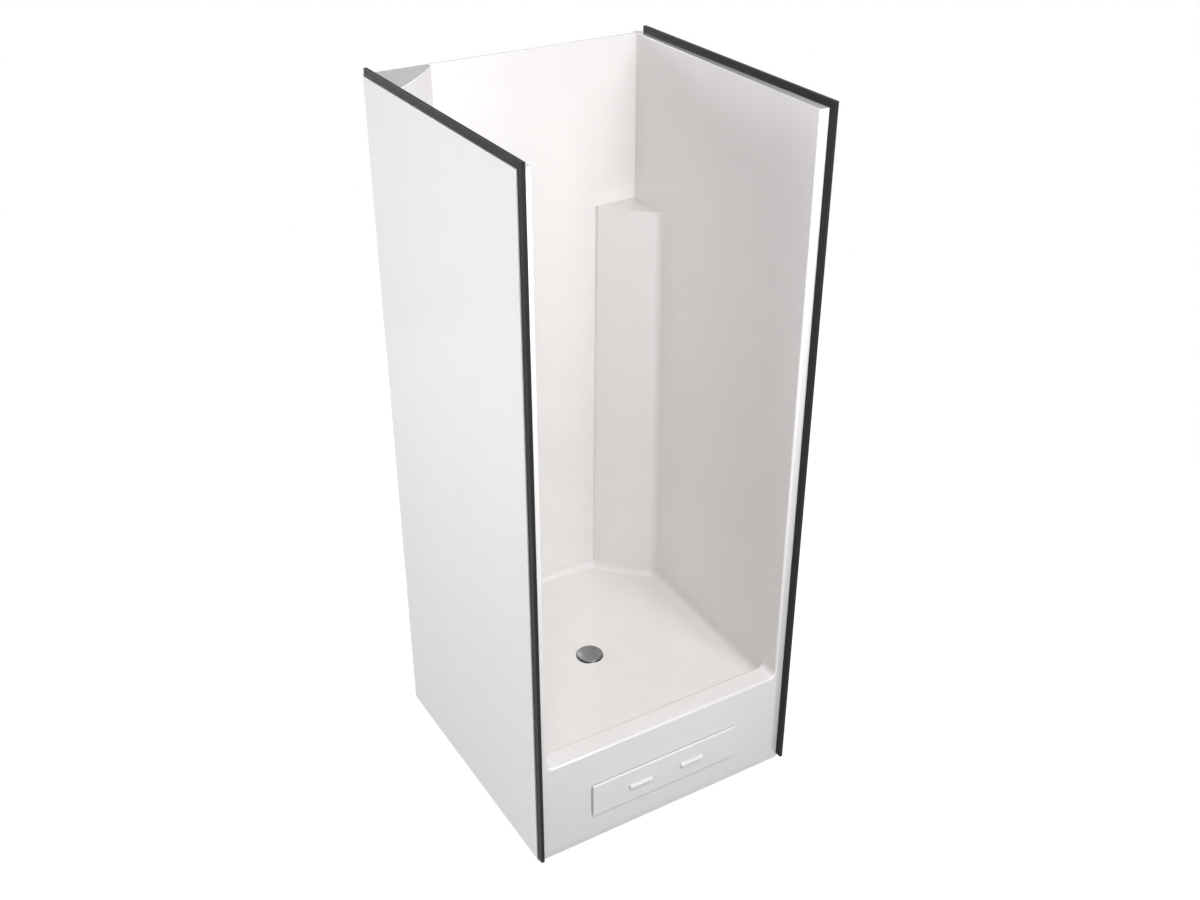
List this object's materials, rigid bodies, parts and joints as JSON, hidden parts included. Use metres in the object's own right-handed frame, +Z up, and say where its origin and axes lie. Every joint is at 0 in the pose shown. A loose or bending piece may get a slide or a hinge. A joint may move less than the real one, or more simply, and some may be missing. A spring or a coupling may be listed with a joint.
{
  "type": "shower cabin",
  "caption": "Square open-front shower cabin with raised base, high threshold, moulded corner columns, dark edge bars, domed floor drain and lift-off apron access panel.",
  "frame": {"origin": "floor level, under the middle of the cabin's box, bars included", "axes": "+Z up, +Y from the open front towards the back wall, +X to the right as seen from the front"},
  "size_m": [0.9, 0.923, 2.193],
  "materials": {
    "shell": "glossy white gel coat on moulded glass fibre",
    "bar": "satin charcoal coated aluminium",
    "cap": "matt light grey moulding",
    "foam": "rigid cream foam",
    "plywood": "sealed plywood",
    "frame_steel": "grey coated steel",
    "zinc": "zinc plated",
    "waste_metal": "satin grey metal",
    "pipe_plastic": "grey moulded plastic",
    "rubber": "soft black rubber",
    "magnet": "dark plastic-cased magnet"
  },
  "bodies": {
    "cabin": {"base": "shell", "rim_seal": "rubber", "wall_left": "shell", "wall_right": "shell", "wall_back": "shell", "core_left": "foam", "core_right": "foam", "core_back": "foam", "side_panel_left": "shell", "side_panel_right": "shell", "back_panel": "shell", "tower_left": "shell", "tower_left_cap": "cap", "tower_right": "shell", "bar_left_front": "bar", "bar_left_top": "bar", "bar_right_front": "bar", "bar_right_top": "bar", "corner_key_left": "pipe_plastic", "corner_key_right": "pipe_plastic", "bar_cap_left_foot": "bar", "bar_cap_left_back": "bar", "bar_cap_right_foot": "bar", "bar_cap_right_back": "bar", "drain_body": "waste_metal", "drain_seal": "rubber", "drain_backnut": "pipe_plastic", "trap_body": "pipe_plastic", "outlet_nut": "pipe_plastic", "outlet_seal": "rubber", "floor_deck": "plywood", "support_frame": "frame_steel", "foot_front_left": "zinc", "foot_front_right": "zinc", "foot_back_left": "zinc", "foot_back_right": "zinc", "locknut_front_left": "zinc", "locknut_front_right": "zinc", "locknut_back_left": "zinc", "locknut_back_right": "zinc", "access_frame": "pipe_plastic", "strike_left": "zinc", "strike_right": "zinc"},
    "panel": {"access_panel": "shell", "panel_gasket": "rubber", "grip_left": "shell", "grip_right": "shell", "grip_screw_left_a": "zinc", "grip_screw_left_b": "zinc", "grip_screw_right_a": "zinc", "grip_screw_right_b": "zinc", "magnet_left": "magnet", "magnet_right": "magnet"},
    "drain_top": {"drain_cover": "waste_metal", "dip_tube": "pipe_plastic"}
  },
  "joints": [
    {"name": "access_panel_pull", "type": "slide", "parent": "cabin", "child": "panel", "axis": [0, -1, 0], "range_m": [0, 0.15]},
    {"name": "drain_cover_lift", "type": "slide", "parent": "cabin", "child": "drain_top", "axis": [0, 0, 1], "range_m": [0, 0.3]}
  ]
}
